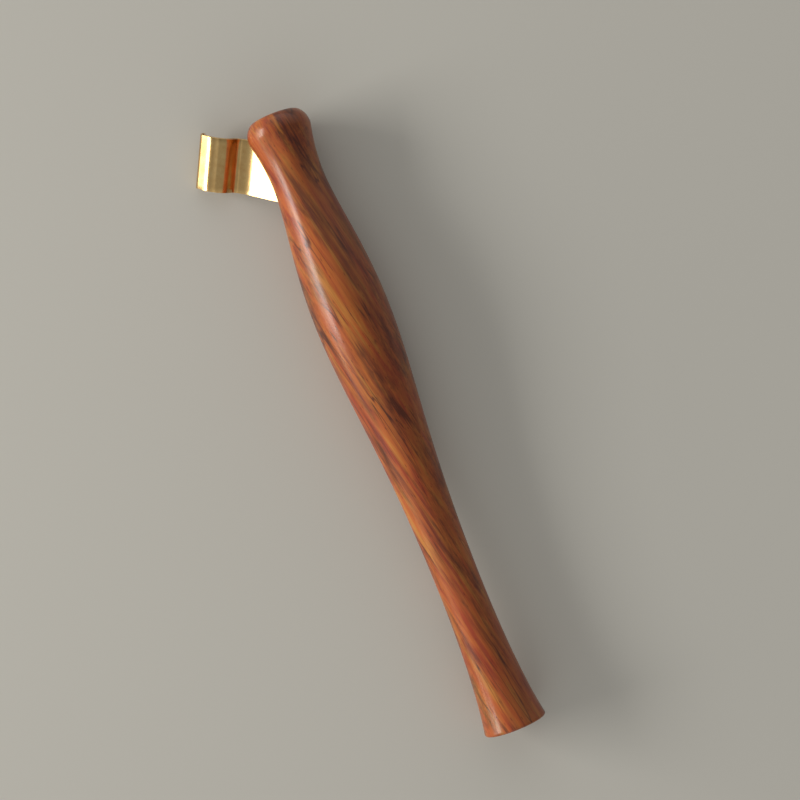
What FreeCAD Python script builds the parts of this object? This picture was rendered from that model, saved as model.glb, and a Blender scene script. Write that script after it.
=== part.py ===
import FreeCAD, Part
import math
import os

# Oblique pen holder for a right-handed writer, lying on its side.
# A turned wooden holder carries a folded brass strip in a slot in its head.
# The fold of the strip is a crescent socket that grips the shank of a dip nib.
# Millimetres and degrees.  +Y runs up the holder from butt to head, +Z is up,
# and the origin is the centre of the flat butt face.

# --- turned holder: stations are measured from the end that each one belongs to
holder_length = 162.0
butt_radius = 7.97
butt_flare_angle = 11.3
butt_edge_round = 0.6
waist_from_butt = 35.8
waist_radius = 5.52
belly_from_head = 52.5
belly_radius = 9.57
neck_from_head = 17.3
neck_radius = 6.58
head_rim_from_head = 4.7
head_rim_radius = 8.11
dome_rim_radius = 5.4
dome_rise = 0.5

# How long each stretch of the outline holds the direction it starts and ends
# with, as shares of the stretch.
flare_hold = (0.33, 0.10)
grip_hold = (0.54, 0.27)
nose_hold = (0.43, 0.24)
neck_hold = (0.56, 0.10)
shoulder_hold = (0.50, 0.55)

# --- how the brass sits in the head
flange_from_head = 16.7     # where the middle of the strip crosses the axis
slot_roll = 30.0            # the slot's plane turned about the holder's axis
oblique_angle = 32.0        # between the nib and the holder's axis
tang_past_axis = 0.5
tang_reach = 12.4           # from the holder's axis out to the first bend

# --- folded brass strip; radii of its upper leaf are those of the top surface
strip_thickness = 0.4
strip_width = 13.56
edge_skew = 1.3             # the cut edges are this far off square
skew_pivot_reach = 13.2
tang_bend_radius = 13.0
tang_bend_angle = 16.0
valley_radius = 1.7
valley_angle = 60.0
flank_length = 1.5          # straight rise from the valley to the crown
crown_radius = 4.5
crown_angle = 89.0
cheek_length = 1.6          # straight fall from the crown to the cheek's bend
cheek_radius = 1.6
cheek_angle = 51.0
fold_drop = 1.2             # straight run from the cheek's bend down to the fold
socket_gap = 0.4            # room for the nib's shank between the leaves
tang_gap = 0.08             # between the leaves where they lie together

# --- room for glue round the tang in its slot
glue_film = 0.15
slot_side_clearance = 0.25
slot_end_clearance = 0.5
glue_recess = 0.15          # the glue stops this far below the wood's surface

big = 60.0                  # longer than any cut that has to run out of the wood


def vec(x, y, z=0.0):
    return FreeCAD.Vector(x, y, z)


def heading_vector(angle):
    return vec(math.cos(math.radians(angle)), math.sin(math.radians(angle)))


# ---------------------------------------------------------------- holder

def stretch(start, start_slope, end, end_slope, hold):
    """One smooth stretch of the outline between two (radius, station) points.

    The slopes are the change of radius per unit of station at the two ends.
    """
    length = end[1] - start[1]
    first = hold[0] * length
    last = hold[1] * length
    curve = Part.BezierCurve()
    curve.setPoles([
        vec(*start),
        vec(start[0] + start_slope * first, start[1] + first),
        vec(end[0] - end_slope * last, end[1] - last),
        vec(*end),
    ])
    return curve.toBSpline().toShape()


def shoulder(start, end, end_angle):
    """The rounded corner from the head's widest rim in to the edge of the dome."""
    rise = shoulder_hold[0] * (end[1] - start[1])
    inward = shoulder_hold[1] * (start[0] - end[0])
    slope = math.radians(end_angle)
    curve = Part.BezierCurve()
    curve.setPoles([
        vec(*start),
        vec(start[0], start[1] + rise),
        vec(end[0] + inward * math.cos(slope), end[1] - inward * math.sin(slope)),
        vec(*end),
    ])
    return curve.toBSpline().toShape()


def holder_blank(inset=0.0):
    """The turned holder without its slot, with its skin moved in by inset."""
    flare = math.radians(butt_flare_angle)
    edge_centre = butt_radius - butt_edge_round
    edge_middle = math.radians((90.0 + butt_flare_angle) / 2.0)
    face_radius = edge_centre - inset
    edge_bulge = (
        face_radius + butt_edge_round * math.sin(edge_middle),
        butt_edge_round * (1.0 - math.cos(edge_middle)),
    )
    edge_end = (
        face_radius + butt_edge_round * math.cos(flare),
        butt_edge_round * (1.0 + math.sin(flare)),
    )
    waist = (waist_radius - inset, waist_from_butt)
    belly = (belly_radius - inset, holder_length - belly_from_head)
    neck = (neck_radius - inset, holder_length - neck_from_head)
    head_rim = (head_rim_radius - inset, holder_length - head_rim_from_head)
    top = holder_length - inset
    dome_rim = (dome_rim_radius - inset, top - dome_rise)
    dome_sphere = (dome_rim[0] ** 2 + dome_rise ** 2) / (2.0 * dome_rise)
    dome_angle = math.degrees(math.asin(dome_rim[0] / dome_sphere))
    halfway = math.radians(dome_angle / 2.0)
    dome_middle = (
        dome_sphere * math.sin(halfway),
        top - dome_sphere * (1.0 - math.cos(halfway)),
    )
    edges = [
        Part.LineSegment(vec(0, 0), vec(face_radius, 0)).toShape(),
        Part.Arc(vec(face_radius, 0), vec(*edge_bulge), vec(*edge_end)).toShape(),
        stretch(edge_end, -math.tan(flare), waist, 0.0, flare_hold),
        stretch(waist, 0.0, belly, 0.0, grip_hold),
        stretch(belly, 0.0, neck, 0.0, nose_hold),
        stretch(neck, 0.0, head_rim, 0.0, neck_hold),
        shoulder(head_rim, dome_rim, dome_angle),
        Part.Arc(vec(*dome_rim), vec(*dome_middle), vec(0, top)).toShape(),
        Part.LineSegment(vec(0, top), vec(0, 0)).toShape(),
    ]
    return Part.Face(Part.Wire(edges)).revolve(vec(0, 0), vec(0, 1), 360)


# ---------------------------------------------------------------- brass flange

def flange_placement():
    """The flange's own frame in the holder.

    Its x runs out of the wood along the tang, its y is square to the tang and
    its z points the way the nib does.  The slot's plane holds the holder's axis.
    """
    roll = math.radians(slot_roll)
    oblique = math.radians(oblique_angle)
    across = vec(math.cos(roll), 0, math.sin(roll))
    along = vec(0, 1, 0)
    nib_way = across * math.sin(oblique) + along * math.cos(oblique)
    outward = along * math.sin(oblique) - across * math.cos(oblique)
    square = nib_way.cross(outward)
    turn = FreeCAD.Rotation(outward, square, nib_way, "XYZ")
    return FreeCAD.Placement(vec(0, holder_length - flange_from_head, 0), turn)


def bend_strip(start, heading, moves):
    """Edges of a strip's section, bent move by move along its middle line.

    A move is (length, 0) for a straight run, or (radius, turn) for a bend,
    with a turn to the left positive.  Returns the two sides and the far end.
    """
    half = strip_thickness / 2.0
    left = []
    right = []
    point = start
    for size, turn in moves:
        normal = heading_vector(heading + 90.0)
        if turn == 0:
            after = point + heading_vector(heading) * size
            for side, way in ((left, half), (right, -half)):
                line = Part.LineSegment(point + normal * way, after + normal * way)
                side.append(line.toShape())
        else:
            hand = math.copysign(1.0, turn)
            centre = point + normal * (hand * size)
            outs = [heading_vector(heading + part * turn - hand * 90.0)
                    for part in (0.0, 0.5, 1.0)]
            after = centre + outs[2] * size
            for side, way in ((left, -hand * half), (right, hand * half)):
                a, b, c = [centre + out * (size + way) for out in outs]
                side.append(Part.Arc(a, b, c).toShape())
            heading += turn
        point = after
    return left, right, point, heading


def flange_section():
    """The folded strip seen along the nib: tang, valley, crown, fold and back."""
    half = strip_thickness / 2.0
    leaf_step = strip_thickness + socket_gap
    tang_line = (strip_thickness + tang_gap) / 2.0
    upper_crown = crown_radius - half
    upper_cheek = cheek_radius - half
    upper_valley = valley_radius + half
    start = vec(-tang_past_axis, tang_line)
    moves = [
        (tang_past_axis + tang_reach, 0),
        (tang_bend_radius + half, tang_bend_angle),
        (upper_valley, valley_angle),
        (flank_length, 0),
        (upper_crown, -crown_angle),
        (cheek_length, 0),
        (upper_cheek, -cheek_angle),
        (fold_drop, 0),
        (leaf_step / 2.0, -180.0),
        (fold_drop, 0),
        (upper_cheek - leaf_step, cheek_angle),
        (cheek_length, 0),
        (upper_crown - leaf_step, crown_angle),
        (flank_length, 0),
        (upper_valley + leaf_step, -valley_angle),
    ]
    point, heading = bend_strip(start, 0.0, moves)[2:]
    # The lower leaf runs straight on until it meets the line of the tang, and
    # turns on to it in a bend that starts where the valley ends.
    to_corner = (-tang_line - point.y) / math.sin(math.radians(heading))
    closing = to_corner / math.tan(math.radians(tang_bend_angle / 2.0))
    moves.append((closing, -tang_bend_angle))
    point = bend_strip(start, 0.0, moves)[2]
    moves.append((point.x + tang_past_axis, 0))
    left, right, end = bend_strip(start, 0.0, moves)[:3]
    caps = [
        Part.LineSegment(start + vec(0, half), start - vec(0, half)).toShape(),
        Part.LineSegment(end + vec(0, half), end - vec(0, half)).toShape(),
    ]
    edges = Part.__sortEdges__(left + right + caps)
    return Part.Face(Part.Wire(edges))


def width_block(low_x, high_x, half_height, extra_width=0.0):
    """A block as wide as the strip, with its two sides skewed like the strip's."""
    width = strip_width + 2.0 * extra_width
    block = Part.makeBox(high_x - low_x, 2.0 * half_height, width)
    block.translate(vec(low_x, -half_height, -width / 2.0))
    block.rotate(vec(skew_pivot_reach, 0, 0), vec(0, 1, 0), -edge_skew)
    return block


def nib_flange():
    """The brass strip in the holder's frame."""
    section = flange_section()
    section.translate(vec(0, 0, -strip_width))
    blank = section.extrude(vec(0, 0, 2.0 * strip_width))
    strip = blank.common(width_block(-big, big, big))
    strip.Placement = flange_placement()
    return strip


# ---------------------------------------------------------------- slot and glue

def tang_slot():
    """The slot for the tang: its plane, width and depth follow the strip."""
    half_height = strip_thickness + tang_gap / 2.0 + glue_film
    inner_end = -tang_past_axis - slot_end_clearance
    slot = width_block(inner_end, big, half_height, slot_side_clearance)
    slot.Placement = flange_placement().multiply(slot.Placement)
    return slot


def build():
    flange = nib_flange()
    slot = tang_slot()
    return {
        "holder_body": holder_blank().cut(slot),
        "nib_flange": flange,
        "flange_glue": slot.common(holder_blank(glue_recess)).cut(flange),
    }


os.makedirs("parts", exist_ok=True)
for name, shape in build().items():
    box = shape.BoundBox
    print(name, len(shape.Solids), "solid", shape.isValid(), "volume", round(shape.Volume, 2),
          "x", round(box.XMin, 2), round(box.XMax, 2), "y", round(box.YMin, 2),
          round(box.YMax, 2), "z", round(box.ZMin, 2), round(box.ZMax, 2))
    shape.exportStep("parts/" + name + ".step")
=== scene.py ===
import bpy
import numpy as np
from math import cos, sin, tan, radians
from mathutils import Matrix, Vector


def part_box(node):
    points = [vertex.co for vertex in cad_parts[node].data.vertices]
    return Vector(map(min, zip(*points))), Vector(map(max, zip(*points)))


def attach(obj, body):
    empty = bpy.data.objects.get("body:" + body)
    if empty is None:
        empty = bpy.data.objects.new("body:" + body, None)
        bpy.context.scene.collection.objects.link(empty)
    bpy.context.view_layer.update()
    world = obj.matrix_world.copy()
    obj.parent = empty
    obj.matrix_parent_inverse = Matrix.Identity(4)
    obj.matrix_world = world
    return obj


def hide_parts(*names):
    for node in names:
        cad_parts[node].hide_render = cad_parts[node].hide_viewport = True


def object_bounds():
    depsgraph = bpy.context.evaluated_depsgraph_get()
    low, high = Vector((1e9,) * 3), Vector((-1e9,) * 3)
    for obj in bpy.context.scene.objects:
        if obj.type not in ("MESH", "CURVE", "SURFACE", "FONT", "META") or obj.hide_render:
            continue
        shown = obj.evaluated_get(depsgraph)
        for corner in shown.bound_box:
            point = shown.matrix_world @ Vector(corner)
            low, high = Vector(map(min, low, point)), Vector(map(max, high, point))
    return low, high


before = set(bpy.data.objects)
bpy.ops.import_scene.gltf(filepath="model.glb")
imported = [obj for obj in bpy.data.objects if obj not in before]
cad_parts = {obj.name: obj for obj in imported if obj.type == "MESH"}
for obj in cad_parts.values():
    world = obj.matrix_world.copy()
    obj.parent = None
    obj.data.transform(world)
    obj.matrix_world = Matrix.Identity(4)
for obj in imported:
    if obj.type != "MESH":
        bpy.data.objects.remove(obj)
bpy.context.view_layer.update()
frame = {"nodes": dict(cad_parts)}
mm = 0.001
scene = bpy.context.scene
scene.view_settings.view_transform = "Standard"
print("frame loaded:", ", ".join(frame["nodes"]))


def hexColour(code):
    # sRGB hex to linear, each channel by the sRGB curve, with full alpha
    srgb = [int(code[i:i + 2], 16) / 255 for i in (1, 3, 5)]
    return (*[c / 12.92 if c <= 0.04045 else ((c + 0.055) / 1.055) ** 2.4 for c in srgb], 1.0)


def addNode(tree, kind, inputs=None, stops=None, **settings):
    # Adds a node: settings are its properties, inputs its sockets' values or the sockets linked to them,
    # and stops the (position, hex or grey) colours of a ramp
    node = tree.nodes.new("ShaderNode" + kind)
    for name, value in settings.items():
        setattr(node, name, value)
    for name, value in (inputs or {}).items():
        if isinstance(value, bpy.types.NodeSocket):
            tree.links.new(value, node.inputs[name])
        else:
            node.inputs[name].default_value = value
    if stops:
        ramp = node.color_ramp
        for _ in stops[2:]:
            ramp.elements.new(0.5)
        for element, (position, colour) in zip(ramp.elements, stops):
            element.position = position
        for element, (position, colour) in zip(ramp.elements, stops):
            element.color = hexColour(colour) if isinstance(colour, str) else (colour, colour, colour, 1)
    return node


def stretched(tree, vector, cell, shift):
    # The vector measured in cells of the given size along each axis, moved to its own part of the pattern
    return addNode(tree, "Mapping", {
        "Vector": vector, "Location": shift, "Scale": tuple(1 / size for size in cell),
    }).outputs["Vector"]


def newMaterial(name):
    # A material with an empty node tree
    material = bpy.data.materials.new(name)
    material.use_nodes = True
    material.node_tree.nodes.clear()
    return material, material.node_tree


def addPiece(name, points, faces):
    # A smooth-shaded mesh at the origin from points in mm
    mesh = bpy.data.meshes.new(name)
    mesh.from_pydata((np.asarray(points) * mm).tolist(), [], faces)
    mesh.shade_smooth()
    piece = bpy.data.objects.new(name, mesh)
    scene.collection.objects.link(piece)
    return piece


# Turned holder: mm, stations from the butt or from the head
holder = {
    "length": (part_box("holder_body")[1].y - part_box("holder_body")[0].y) / mm,
    "buttRadius": 7.97,
    "buttFlare": 11.3,               # degrees
    "buttEdge": 0.6,
    "waistFromButt": 35.8,
    "waistRadius": 5.52,
    "bellyFromHead": 52.5,
    "bellyRadius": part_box("holder_body")[1].z / mm,
    "neckFromHead": 17.3,
    "neckRadius": 6.58,
    "rimFromHead": 4.7,
    "rimRadius": 8.11,
    "domeRimRadius": 5.4,
    "domeRise": 0.5,
    "flareHold": (0.33, 0.10),       # share of the stretch that each end keeps its slope
    "gripHold": (0.54, 0.27),
    "noseHold": (0.43, 0.24),
    "neckHold": (0.56, 0.10),
    "shoulderHold": (0.50, 0.55),
    "around": 192,
}


def curve(start, first, second, end, count):
    # Cubic through its end points, pulled to the two middle ones: the sum of the four points with weights
    # (1-t)^3, 3(1-t)^2 t, 3(1-t)t^2 and t^3, without the last point
    t = np.linspace(0, 1, count, endpoint=False)[:, None]
    start, first, second, end = [np.array(p, float) for p in (start, first, second, end)]
    return (1 - t) ** 3 * start + 3 * (1 - t) ** 2 * t * first + 3 * (1 - t) * t ** 2 * second + t ** 3 * end


def stretch(start, slope, end, hold, count):
    # Cubic between two (radius, station) points that leaves at the slope and arrives parallel to the axis
    length = end[1] - start[1]
    first = (start[0] + slope * hold[0] * length, start[1] + hold[0] * length)
    return curve(start, first, (end[0], end[1] - hold[1] * length), end, count)


def holderOutline(h):
    # (radius, station) from the middle of the butt face, round its edge on an arc, along four cubic
    # stretches, over the shoulder and down the dome's sphere to the axis
    flare, face = radians(h["buttFlare"]), h["buttRadius"] - h["buttEdge"]
    butt = np.stack([np.linspace(0, face, 9)[:-1], np.zeros(8)], axis=1)
    turn = np.linspace(0, np.pi / 2 + flare, 12)[:-1]
    edge = np.stack([face + h["buttEdge"] * np.sin(turn), h["buttEdge"] * (1 - np.cos(turn))], axis=1)
    edgeEnd = (face + h["buttEdge"] * cos(flare), h["buttEdge"] * (1 + sin(flare)))
    waist = (h["waistRadius"], h["waistFromButt"])
    belly = (h["bellyRadius"], h["length"] - h["bellyFromHead"])
    neck = (h["neckRadius"], h["length"] - h["neckFromHead"])
    rim = (h["rimRadius"], h["length"] - h["rimFromHead"])
    domeRim = (h["domeRimRadius"], h["length"] - h["domeRise"])
    sphere = (domeRim[0] ** 2 + h["domeRise"] ** 2) / (2 * h["domeRise"])
    lean = np.arcsin(domeRim[0] / sphere)
    rise = h["shoulderHold"][0] * (domeRim[1] - rim[1])
    inward = h["shoulderHold"][1] * (rim[0] - domeRim[0])
    fall = np.linspace(lean, 0, 12)
    return np.vstack([
        butt,
        edge,
        stretch(edgeEnd, -tan(flare), waist, h["flareHold"], 70),
        stretch(waist, 0, belly, h["gripHold"], 130),
        stretch(belly, 0, neck, h["noseHold"], 90),
        stretch(neck, 0, rim, h["neckHold"], 50),
        curve(rim, (rim[0], rim[1] + rise), (domeRim[0] + inward, domeRim[1] - inward * tan(lean)), domeRim, 28),
        np.stack([sphere * np.sin(fall), h["length"] - sphere * (1 - np.cos(fall))], axis=1),
    ])


def turnedPiece(name, outline, around):
    # The outline carried round the Y axis: x = r cos a, y = station, z = r sin a. Its first and last points
    # lie on the axis and become the two poles.
    angle = np.linspace(0, 2 * np.pi, around, endpoint=False)
    radius, station = outline[1:-1, :1], outline[1:-1, 1:]
    rings = np.stack([radius * np.cos(angle), station + 0 * angle, radius * np.sin(angle)], axis=-1)
    poles = [(0, outline[0, 1], 0), (0, outline[-1, 1], 0)]
    here = np.arange(rings.shape[0] * around).reshape(-1, around)
    beside = np.roll(here, -1, axis=1)
    quads = np.stack([here[:-1], here[1:], beside[1:], beside[:-1]], axis=-1).reshape(-1, 4)
    buttFan = np.stack([np.full(around, here.size), here[0], beside[0]], axis=-1)
    headFan = np.stack([np.full(around, here.size + 1), beside[-1], here[-1]], axis=-1)
    faces = quads.tolist() + buttFan.tolist() + headFan.tolist()
    return addPiece(name, np.vstack([rings.reshape(-1, 3), poles]), faces)


holderPiece = turnedPiece("turnedHolder", holderOutline(holder), holder["around"])
print("holder turned:", len(holderPiece.data.polygons), "faces")


# Flange folded from one brass strip: mm and degrees, radii on the top face of the upper leaf
flange = {
    "fromHead": 16.7,
    "slotRoll": 30.0,
    "obliqueAngle": 32.0,
    "pastAxis": 0.5,
    "thickness": 0.4,
    "width": 13.56,
    "edgeSkew": 1.3,
    "skewPivot": 13.2,
    "edgeRound": 0.08,
    "tangReach": 12.4,
    "tangBend": (13.0, 16.0),
    "valley": (1.7, 60.0),
    "flankLength": 1.5,
    "crown": (4.5, 89.0),
    "cheekLength": 1.6,
    "cheek": (1.6, 51.0),
    "foldDrop": 1.2,
    "socketGap": 0.4,
    "tangGap": 0.08,
    "bendStep": 2.5,                 # degrees between points on a bend
}


def flangeAxes(f):
    # Out along the tang, square to the tang, and the way that the nib points
    roll, oblique = radians(f["slotRoll"]), radians(f["obliqueAngle"])
    across, along = Vector((cos(roll), 0, sin(roll))), Vector((0, 1, 0))
    nibWay = across * sin(oblique) + along * cos(oblique)
    outward = along * sin(oblique) - across * cos(oblique)
    return outward, nibWay.cross(outward), nibWay


def stripWalk(start, moves, step):
    # Follows a line of straights (length, 0) and arcs (radius, turn, left positive) from a heading of 0.
    # An arc's points are its centre less or plus the radius times the left-hand normal.
    point, heading = np.array(start, float), 0.0
    points, normals = [], []
    for size, turn in moves:
        count = max(2, int(abs(turn) / step)) if turn else 6
        t = np.linspace(0, 1, count, endpoint=False)[:, None]
        angle = np.radians(heading + t * turn)
        left = np.hstack([-np.sin(angle), np.cos(angle)])
        if turn:
            hand = np.sign(turn) * size
            centre = point + left[0] * hand
            heading += turn
            points.append(centre - left * hand)
            point = centre - np.array([-sin(radians(heading)), cos(radians(heading))]) * hand
        else:
            way = np.array([left[0, 1], -left[0, 0]])
            points.append(point + way * size * t)
            point = point + way * size
        normals.append(left)
    points.append(point[None])
    normals.append(np.array([[-sin(radians(heading)), cos(radians(heading))]]))
    return np.vstack(points), np.vstack(normals), heading


def stripLine(f):
    # Middle line of the strip: out along the upper leaf, over the hairpin and back along the lower one,
    # whose last bend brings it under the tang
    half, leafStep = f["thickness"] / 2, f["thickness"] + f["socketGap"]
    tangLine = (f["thickness"] + f["tangGap"]) / 2
    (bendRadius, bendTurn), (valley, valleyTurn) = f["tangBend"], f["valley"]
    (crown, crownTurn), (cheek, cheekTurn) = f["crown"], f["cheek"]
    start = (-f["pastAxis"], tangLine)
    moves = [
        (f["pastAxis"] + f["tangReach"], 0),
        (bendRadius + half, bendTurn),
        (valley + half, valleyTurn),
        (f["flankLength"], 0),
        (crown - half, -crownTurn),
        (f["cheekLength"], 0),
        (cheek - half, -cheekTurn),
        (f["foldDrop"], 0),
        (leafStep / 2, -180),
        (f["foldDrop"], 0),
        (cheek - half - leafStep, cheekTurn),
        (f["cheekLength"], 0),
        (crown - half - leafStep, crownTurn),
        (f["flankLength"], 0),
        (valley + half + leafStep, -valleyTurn),
    ]
    points, _, heading = stripWalk(start, moves, f["bendStep"])
    toCorner = (-tangLine - points[-1, 1]) / sin(radians(heading))
    moves.append((toCorner / tan(radians(bendTurn / 2)), -bendTurn))
    points, _, _ = stripWalk(start, moves, f["bendStep"])
    moves.append((points[-1, 0] + f["pastAxis"], 0))
    return stripWalk(start, moves, f["bendStep"])[:2]


def foldedPiece(name, f):
    # The middle line, out on both sides by half the thickness, carried along the nib's way. Towards the two
    # cut edges the half thickness falls away on a quarter circle, and the cuts lean by the skew.
    middle, normals = stripLine(f)
    halfWidth, count = f["width"] / 2, len(middle)
    turn = np.linspace(0, np.pi / 2, 5)
    rim = f["edgeRound"] * (1 - np.cos(turn))
    thin = f["edgeRound"] * (1 - np.sin(turn))
    inner = np.linspace(-1, 1, 13)[1:-1] * (halfWidth - f["edgeRound"])
    along = np.concatenate([-halfWidth + rim, inner, (halfWidth - rim)[::-1]])[:, None]
    half = f["thickness"] / 2 - np.concatenate([thin, 0 * inner, thin[::-1]])[:, None, None]
    section = np.concatenate([middle + normals * half, (middle - normals * half)[:, ::-1]], axis=1)
    forward = along + (section[..., 0] - f["skewPivot"]) * tan(radians(f["edgeSkew"]))
    outward, square, nibWay = [np.array(axis) for axis in flangeAxes(f)]
    origin = np.array([0, holder["length"] - f["fromHead"], 0])
    points = origin + section[..., :1] * outward + section[..., 1:] * square + forward[..., None] * nibWay
    here = np.arange(points.shape[0] * 2 * count).reshape(-1, 2 * count)
    beside = np.roll(here, -1, axis=1)
    quads = np.stack([here[:-1], here[1:], beside[1:], beside[:-1]], axis=-1).reshape(-1, 4)
    i = np.arange(count - 1)
    rear = np.stack([i, i + 1, 2 * count - 2 - i, 2 * count - 1 - i], axis=-1)
    front = rear[:, ::-1] + here[-1, 0]
    return addPiece(name, points.reshape(-1, 3), quads.tolist() + rear.tolist() + front.tolist())


flangePiece = foldedPiece("brassFlange", flange)
flangePiece.data.set_sharp_from_angle(angle=radians(50))
print("flange folded:", len(flangePiece.data.polygons), "faces")


# Slot sawn into the holder for the tang, mm: room for glue above and below it, beside it and past its end
slot = {"film": 0.15, "side": 0.25, "end": 0.5, "reach": 60.0}


# A box's faces, its corners being counted with x slowest and z fastest
boxFaces = [(0, 1, 3, 2), (4, 6, 7, 5), (0, 4, 5, 1), (2, 3, 7, 6), (0, 2, 6, 4), (1, 5, 7, 3)]


def cutSlot(piece, f, s):
    # Takes a block, wider than the tang by the film and the clearances, out of the piece
    outward, square, nibWay = [np.array(axis) for axis in flangeAxes(f)]
    high = f["thickness"] + f["tangGap"] / 2 + s["film"]
    wide = f["width"] / 2 + s["side"]
    x, y, z = [side.ravel() for side in np.meshgrid(
        (-f["pastAxis"] - s["end"], s["reach"]), (-high, high), (-wide, wide), indexing="ij")]
    z = z + (x - f["skewPivot"]) * tan(radians(f["edgeSkew"]))
    origin = np.array([0, holder["length"] - f["fromHead"], 0])
    corners = origin + x[:, None] * outward + y[:, None] * square + z[:, None] * nibWay
    block = addPiece("slotBlock", corners, boxFaces)
    modifier = piece.modifiers.new("slot", "BOOLEAN")
    modifier.operation, modifier.solver, modifier.object = "DIFFERENCE", "EXACT", block
    cut = bpy.data.meshes.new_from_object(piece.evaluated_get(bpy.context.evaluated_depsgraph_get()))
    piece.modifiers.clear()
    piece.data = cut
    bpy.data.objects.remove(block)


cutSlot(holderPiece, flange, slot)
holderPiece.data.set_sharp_from_angle(angle=radians(40))
print("slot cut:", len(holderPiece.data.polygons), "faces")


# Rosewood, turned, sanded along the fibres and lacquered. Sizes in mm: across, along and through the fibres.
wood = {
    "grainTurn": -12.0,              # degrees that the fibres run off the turning axis
    "grainTip": 4.0,
    "hue": (1.7, 26, 3.2),
    "hueStops": [(0.34, "#9A3E22"), (0.44, "#AF5628"), (0.55, "#B5632A"), (0.68, "#BA7835")],
    "layers": {                      # across, along, through, detail, distortion, weight in the darkness
        "band": (4.4, 40, 8.0, 3.0, 0.3, 0.48),
        "streak": (0.85, 20, 2.2, 3.0, 0.3, 0.34),
        "fibre": (0.22, 6.5, 0.3, 2.0, 0.1, 0.18),
    },
    "darkStops": [(0.38, 0.88), (0.45, 0.52), (0.51, 0.18), (0.58, 0.0)],
    "darkColour": "#4A2318",
    "heartAndShade": (-2.0, 5.5, 5.0),       # mm where the darkening of the side away from the window, partly darker heartwood and partly painted shade, begins and is full, and how far it wanders
    "heartAndShadeSide": (1.0, 0.0, 0.2),    # the way to the darker side, +X away from the window: partly heartwood, partly painted shade
    "heartAndShadeEdge": (4.5, 26, 6),       # size of its waves
    "heartAndShadeColour": "#532D19",
    "heartAndShadeStrength": 0.46,
    "line": (2.2, 40, 14),           # growth lines run where this pattern crosses its middle value
    "lineStops": [(0.480, 0.0), (0.496, 0.85), (0.504, 0.85), (0.520, 0.0)],
    "linePatch": 10.0,               # size of the areas that have them
    "lineColour": "#4A2217",
    "pore": (0.46, 2.8, 0.46),       # coarser than the real 0.2 mm, so that they show
    "poreShade": 0.58,
    "poreColour": "#32160D",
}


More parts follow.
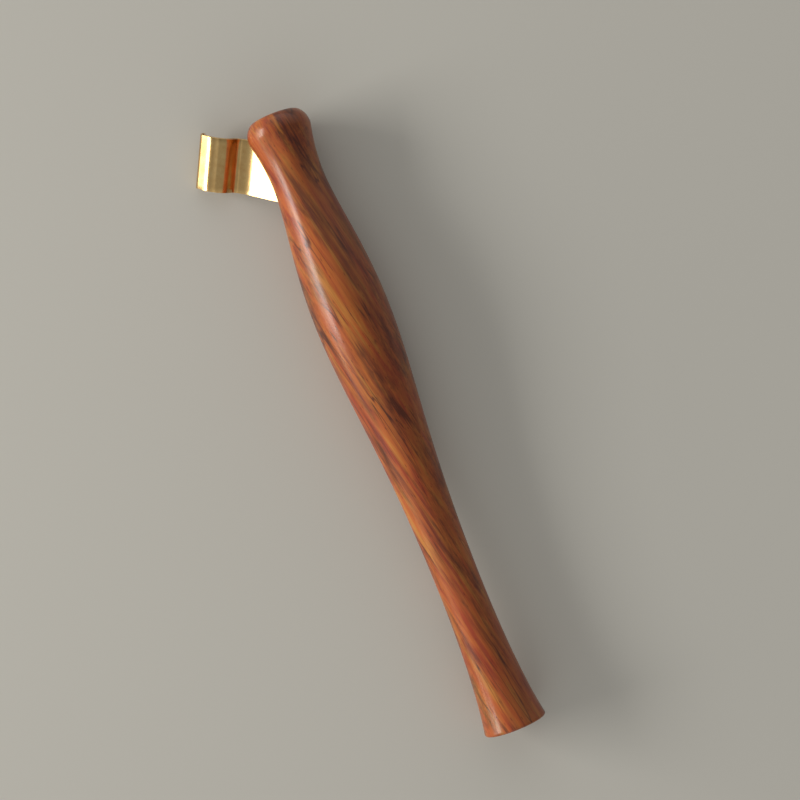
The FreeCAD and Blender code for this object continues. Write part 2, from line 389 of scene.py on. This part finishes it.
def rosewood(w):
    # Lacquered rosewood: fine red, orange and golden-brown streaks, darker heartwood mixed with painted shade on the
    # side
    #     # away from the window, a few long dark growth lines, and short open pores that show as dashes along the side
    #     and
    #     # dots on the ends, under a satin lacquer that glints along the window
    material, tree = newMaterial("lacquered rosewood")
    fibre = addNode(tree, "Mapping", {
        "Vector": addNode(tree, "TexCoord").outputs["Object"],
        "Rotation": (radians(w["grainTip"]), 0, radians(w["grainTurn"])),
        "Scale": (1 / mm, 1 / mm, 1 / mm),
    }).outputs["Vector"]

    spot = stretched(tree, fibre, w["hue"], (9.4, 3.3, 5.2))
    hue = addNode(tree, "TexNoise", {
        "Vector": spot, "Scale": 1.0, "Detail": 4.0, "Roughness": 0.6, "Distortion": 0.3,
    }).outputs["Fac"]
    colour = addNode(tree, "ValToRGB", {"Fac": hue}, w["hueStops"]).outputs["Color"]

    # Painted shade: darker towards +X, the side away from the window; partly darker heartwood, partly the shade that
    # side lies in
    place = addNode(tree, "VectorMath", {
        0: addNode(tree, "TexCoord").outputs["Object"], 1: Vector(w["heartAndShadeSide"]) / mm,
    }, operation="DOT_PRODUCT").outputs["Value"]
    begins, full, wander = w["heartAndShade"]
    spot = stretched(tree, fibre, w["heartAndShadeEdge"], (2.6, 9.1, 0.4))
    drift = addNode(tree, "TexNoise", {
        "Vector": spot, "Scale": 1.0, "Detail": 3.0, "Roughness": 0.6, "Distortion": 0.8,
    }).outputs["Fac"]
    place = addNode(tree, "Math", {0: drift, 1: 2 * wander, 2: place}, operation="MULTIPLY_ADD").outputs[0]
    heartAndShade = addNode(tree, "MapRange", {
        "Value": place, "From Min": begins + wander, "From Max": full + wander, "To Max": w["heartAndShadeStrength"],
    }, interpolation_type="SMOOTHSTEP").outputs["Result"]
    colour = addNode(tree, "Mix", {0: heartAndShade, 6: colour, 7: hexColour(w["heartAndShadeColour"])}, data_type="RGBA").outputs[2]

    tone = 0.0
    for number, (name, (*cell, detail, distortion, weight)) in enumerate(w["layers"].items()):
        spot = stretched(tree, fibre, cell, (3.1 * number, 7.7, 1.9))
        noise = addNode(tree, "TexNoise", {
            "Vector": spot, "Scale": 1.0, "Detail": detail, "Roughness": 0.6, "Distortion": distortion,
        }, label=name).outputs["Fac"]
        tone = addNode(tree, "Math", {0: noise, 1: weight, 2: tone}, operation="MULTIPLY_ADD").outputs[0]
    dark = addNode(tree, "ValToRGB", {"Fac": tone}, w["darkStops"]).outputs["Color"]
    colour = addNode(tree, "Mix", {0: dark, 6: colour, 7: hexColour(w["darkColour"])}, data_type="RGBA").outputs[2]

    spot = stretched(tree, fibre, w["line"], (5.3, 2.2, 8.1))
    line = addNode(tree, "TexNoise", {
        "Vector": spot, "Scale": 1.0, "Detail": 2.0, "Roughness": 0.5, "Distortion": 0.25,
    }).outputs["Fac"]
    line = addNode(tree, "ValToRGB", {"Fac": line}, w["lineStops"]).outputs["Color"]
    patch = addNode(tree, "TexNoise", {"Vector": fibre, "Scale": 1 / w["linePatch"], "Detail": 1.0}).outputs["Fac"]
    patch = addNode(tree, "ValToRGB", {"Fac": patch}, [(0.42, 0.0), (0.58, 1.0)]).outputs["Color"]
    line = addNode(tree, "Math", {0: line, 1: patch}, operation="MULTIPLY").outputs[0]
    colour = addNode(tree, "Mix", {0: line, 6: colour, 7: hexColour(w["lineColour"])}, data_type="RGBA").outputs[2]

    spot = stretched(tree, fibre, w["pore"], (1.7, 4.4, 6.6))
    pocket = addNode(tree, "TexVoronoi", {"Vector": spot, "Scale": 1.0, "Randomness": 1.0})
    near = pocket.outputs["Distance"]
    near = addNode(tree, "ValToRGB", {"Fac": near}, [(0.12, 1.0), (0.24, 0.0)]).outputs["Color"]
    chance = addNode(tree, "SeparateColor", {"Color": pocket.outputs["Color"]}).outputs[0]
    chance = addNode(tree, "ValToRGB", {"Fac": chance}, [(0.45, 0.0), (0.85, 1.0)]).outputs["Color"]
    pore = addNode(tree, "Math", {0: near, 1: chance}, operation="MULTIPLY").outputs[0]
    poreShade = addNode(tree, "Math", {0: pore, 1: w["poreShade"]}, operation="MULTIPLY").outputs[0]
    colour = addNode(tree, "Mix", {0: poreShade, 6: colour, 7: hexColour(w["poreColour"])}, data_type="RGBA").outputs[2]

    hollow = addNode(tree, "Math", {0: tone, 1: 0.35}, operation="MULTIPLY").outputs[0]
    hollow = addNode(tree, "Math", {0: pore, 1: -0.5, 2: hollow}, operation="MULTIPLY_ADD").outputs[0]
    woodBump = addNode(tree, "Bump", {"Height": hollow, "Strength": 0.35, "Distance": 0.05 * mm}).outputs["Normal"]
    ripple = addNode(tree, "TexNoise", {"Vector": fibre, "Scale": 0.6, "Detail": 3.0, "Roughness": 0.6}).outputs["Fac"]
    coatHeight = addNode(tree, "Math", {0: pore, 1: -0.25, 2: ripple}, operation="MULTIPLY_ADD").outputs[0]
    coatBump = addNode(tree, "Bump", {"Height": coatHeight, "Strength": 0.25, "Distance": 0.04 * mm}).outputs["Normal"]
    rough = addNode(tree, "MapRange", {"Value": ripple, "To Min": 0.42, "To Max": 0.60}).outputs["Result"]
    shader = addNode(tree, "BsdfPrincipled", {
        "Base Color": colour, "Roughness": rough, "IOR": 1.5, "Specular IOR Level": 0.15, "Normal": woodBump,
        "Coat Weight": 0.62, "Coat Roughness": 0.21, "Coat IOR": 1.5, "Coat Normal": coatBump,
    })
    addNode(tree, "OutputMaterial", {"Surface": shader.outputs["BSDF"]})
    return material


# Brass sheet, cold-rolled, folded by hand and polished. Sizes in mm.
brass = {
    "clean": "#E2C083",
    "warm": "#D2A96B",
    "rolling": (9.0, 0.09, 0.09),    # rolling lines, along the strip, across it and through it
    "smudge": 2.4,                   # handling marks
    "wave": 0.12,                    # unevenness from folding, waves to the mm
    "roughness": (0.20, 0.14),       # where it is handled and where it is clean
}


def polishedBrass(b):
    # Polished rolled brass: warm yellow mirror with hair-fine lines along the strip, a soft hand-folded
    # unevenness that bends the reflections, and slightly duller, warmer patches from handling
    material, tree = newMaterial("polished brass sheet")
    place = addNode(tree, "TexCoord").outputs["Object"]
    spot = addNode(tree, "Mapping", {"Vector": place, "Scale": (1 / mm, 1 / mm, 1 / mm)}).outputs["Vector"]
    smudge = addNode(tree, "TexNoise", {
        "Vector": spot, "Scale": 1 / b["smudge"], "Detail": 4.0, "Roughness": 0.65,
    }).outputs["Fac"]
    colour = addNode(tree, "ValToRGB", {"Fac": smudge}, [(0.3, b["warm"]), (0.65, b["clean"])]).outputs["Color"]
    drawn = addNode(tree, "Mapping", {
        "Vector": spot, "Rotation": (0, 0, radians(-flange["obliqueAngle"])),
        "Scale": tuple(1 / size for size in b["rolling"]),
    }).outputs["Vector"]
    lines = addNode(tree, "TexNoise", {"Vector": drawn, "Scale": 1.0, "Detail": 2.0, "Roughness": 0.6}).outputs["Fac"]
    wave = addNode(tree, "TexNoise", {"Vector": spot, "Scale": b["wave"], "Detail": 0.0}).outputs["Fac"]
    lineBump = addNode(tree, "Bump", {"Height": lines, "Strength": 0.12, "Distance": 0.01 * mm}).outputs["Normal"]
    bump = addNode(tree, "Bump", {
        "Height": wave, "Strength": 0.35, "Distance": 0.15 * mm, "Normal": lineBump,
    }).outputs["Normal"]
    handled, clean = b["roughness"]
    rough = addNode(tree, "MapRange", {
        "Value": smudge, "From Min": 0.3, "From Max": 0.7, "To Min": handled, "To Max": clean,
    }).outputs["Result"]
    shader = addNode(tree, "BsdfPrincipled", {
        "Base Color": colour, "Metallic": 1.0, "Roughness": rough, "Normal": bump,
        "Coat Weight": 0.2, "Coat Roughness": 0.1,
    })
    addNode(tree, "OutputMaterial", {"Surface": shader.outputs["BSDF"]})
    return material


# Epoxy glue film in the slot. Sizes in mm.
glue = {"amber": "#A8834A", "clear": "#C9AE78", "cloud": 1.25, "bubble": 0.35}


def curedEpoxy(g):
    # Cured epoxy: smooth amber resin, a little cloudy, with pinhead bubbles where it was squeezed out
    material, tree = newMaterial("cured epoxy")
    place = addNode(tree, "TexCoord").outputs["Object"]
    spot = addNode(tree, "Mapping", {"Vector": place, "Scale": (1 / mm, 1 / mm, 1 / mm)}).outputs["Vector"]
    cloud = addNode(tree, "TexNoise", {"Vector": spot, "Scale": 1 / g["cloud"], "Detail": 3.0}).outputs["Fac"]
    colour = addNode(tree, "ValToRGB", {"Fac": cloud}, [(0.35, g["amber"]), (0.65, g["clear"])]).outputs["Color"]
    bubble = addNode(tree, "TexVoronoi", {"Vector": spot, "Scale": 1 / g["bubble"]}).outputs["Distance"]
    bump = addNode(tree, "Bump", {"Height": bubble, "Strength": 0.3, "Distance": 0.05 * mm}).outputs["Normal"]
    rough = addNode(tree, "MapRange", {"Value": cloud, "To Min": 0.18, "To Max": 0.40}).outputs["Result"]
    shader = addNode(tree, "BsdfPrincipled", {
        "Base Color": colour, "Roughness": rough, "IOR": 1.55, "Normal": bump, "Transmission Weight": 0.25,
    })
    addNode(tree, "OutputMaterial", {"Surface": shader.outputs["BSDF"]})
    return material


holderPiece.data.materials.append(rosewood(wood))
flangePiece.data.materials.append(polishedBrass(brass))
glueNode = frame["nodes"]["flange_glue"]
glueNode.material_slots[0].link = "OBJECT"
glueNode.material_slots[0].material = curedEpoxy(glue)
for piece, node, finish in ((holderPiece, "holder_body", "hardwood"), (flangePiece, "nib_flange", "brass")):
    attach(piece, "root")
    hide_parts(node)
print("finishes:", ", ".join(m.name for m in bpy.data.materials))


# Table and light. Compass turns in degrees from -X towards +Y, heights above the horizon, sizes in metres.
studio = {
    "floorSize": 6.0,
    "floorDepth": 0.04,
    "floorColour": "#C3C1BA",
    "turn": 20.0,                    # the way to the window
    "lights": {                      # the window, and the sunlit sill below it
        "window": {"height": 24.0, "distance": 1.15, "size": (0.74, 0.33), "watts": 8.4, "colour": "#FFFDF8"},
        "sill": {"height": 8.0, "distance": 1.20, "size": (1.10, 0.28), "watts": 3.6, "colour": "#FFF6E6"},
    },
    # Brightness of the room from the window's side, over the top, to the far side
    "roomStops": [(0.0, 0.30), (0.25, 0.27), (0.42, 0.37), (0.48, 0.38), (0.53, 0.17), (1.0, 0.18)],
    "endWalls": 1.0,                 # added towards both ends of the room
    "roomColour": "#F8F6F2",
}


def paintedTable(s):
    # Matt painted board: even pale warm grey with an orange-peel so fine that it only softens the light
    material, tree = newMaterial("matt painted board")
    place = addNode(tree, "TexCoord").outputs["Object"]
    grain = addNode(tree, "TexNoise", {"Vector": place, "Scale": 1500.0, "Detail": 2.0}).outputs["Fac"]
    bump = addNode(tree, "Bump", {"Height": grain, "Strength": 0.1, "Distance": 0.05 * mm}).outputs["Normal"]
    shader = addNode(tree, "BsdfPrincipled", {
        "Base Color": hexColour(s["floorColour"]), "Roughness": 0.85, "Specular IOR Level": 0.2, "Normal": bump,
    })
    addNode(tree, "OutputMaterial", {"Surface": shader.outputs["BSDF"]})
    return material


side = studio["floorSize"] / 2 / mm
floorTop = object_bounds()[0].z / mm
floorBase = floorTop - studio["floorDepth"] / mm
corners = [(x, y, z) for x in (-side, side) for y in (-side, side) for z in (floorBase, floorTop)]
floor = addPiece("floor", corners, boxFaces)
floor.data.shade_flat()
floor.data.materials.append(paintedTable(studio))

middle = Vector((0, holder["length"] / 2, 0)) * mm
turn = radians(studio["turn"])
for name, light in studio["lights"].items():
    height = radians(light["height"])
    towards = Vector((-cos(turn) * cos(height), sin(turn) * cos(height), sin(height)))
    lamp = bpy.data.lights.new(name, "AREA")
    lamp.shape = "RECTANGLE"
    lamp.size, lamp.size_y = light["size"]
    lamp.energy = light["watts"]
    lamp.color = hexColour(light["colour"])[:3]
    lampObject = bpy.data.objects.new(name, lamp)
    lampObject.location = middle + towards * light["distance"]
    lampObject.rotation_euler = towards.to_track_quat("Z", "Y").to_euler()
    lampObject.visible_camera = False
    scene.collection.objects.link(lampObject)

world = bpy.data.worlds.new("room")
world.use_nodes = True
room = world.node_tree
room.nodes.clear()
skyward = addNode(room, "TexCoord").outputs["Generated"]
awayFromWindow, alongWindow = Vector((cos(turn), -sin(turn), 0)), Vector((sin(turn), cos(turn), 0))
facing = addNode(room, "VectorMath", {0: skyward, 1: awayFromWindow}, operation="DOT_PRODUCT").outputs["Value"]
across = addNode(room, "MapRange", {"Value": facing, "From Min": -1.0, "From Max": 1.0}).outputs["Result"]
ends = addNode(room, "VectorMath", {0: skyward, 1: alongWindow}, operation="DOT_PRODUCT").outputs["Value"]
ends = addNode(room, "Math", {0: ends, 1: ends}, operation="MULTIPLY").outputs[0]
level = addNode(room, "ValToRGB", {"Fac": across}, studio["roomStops"]).outputs["Color"]
level = addNode(room, "Math", {0: ends, 1: studio["endWalls"], 2: level}, operation="MULTIPLY_ADD").outputs[0]
air = addNode(room, "Background", {"Color": hexColour(studio["roomColour"]), "Strength": level})
addNode(room, "OutputWorld", {"Surface": air.outputs["Background"]})
scene.world = world
print("light and table set")


# Camera straight above the table, turned so that the holder lies head up and to the left. Its place and its
# lens are in mm, its turn in degrees and its reach in metres.
view = {"place": (3.184, 85.017, 493), "turn": -21.73, "lens": 90.0, "sensor": 36.0, "reach": (0.01, 20.0)}
lens = bpy.data.cameras.new("camera")
lens.lens, lens.sensor_width = view["lens"], view["sensor"]
lens.clip_start, lens.clip_end = view["reach"]
camera = bpy.data.objects.new("camera", lens)
camera.location = Vector(view["place"]) * mm
camera.rotation_euler = (0, 0, radians(view["turn"]))
scene.collection.objects.link(camera)
scene.camera = camera
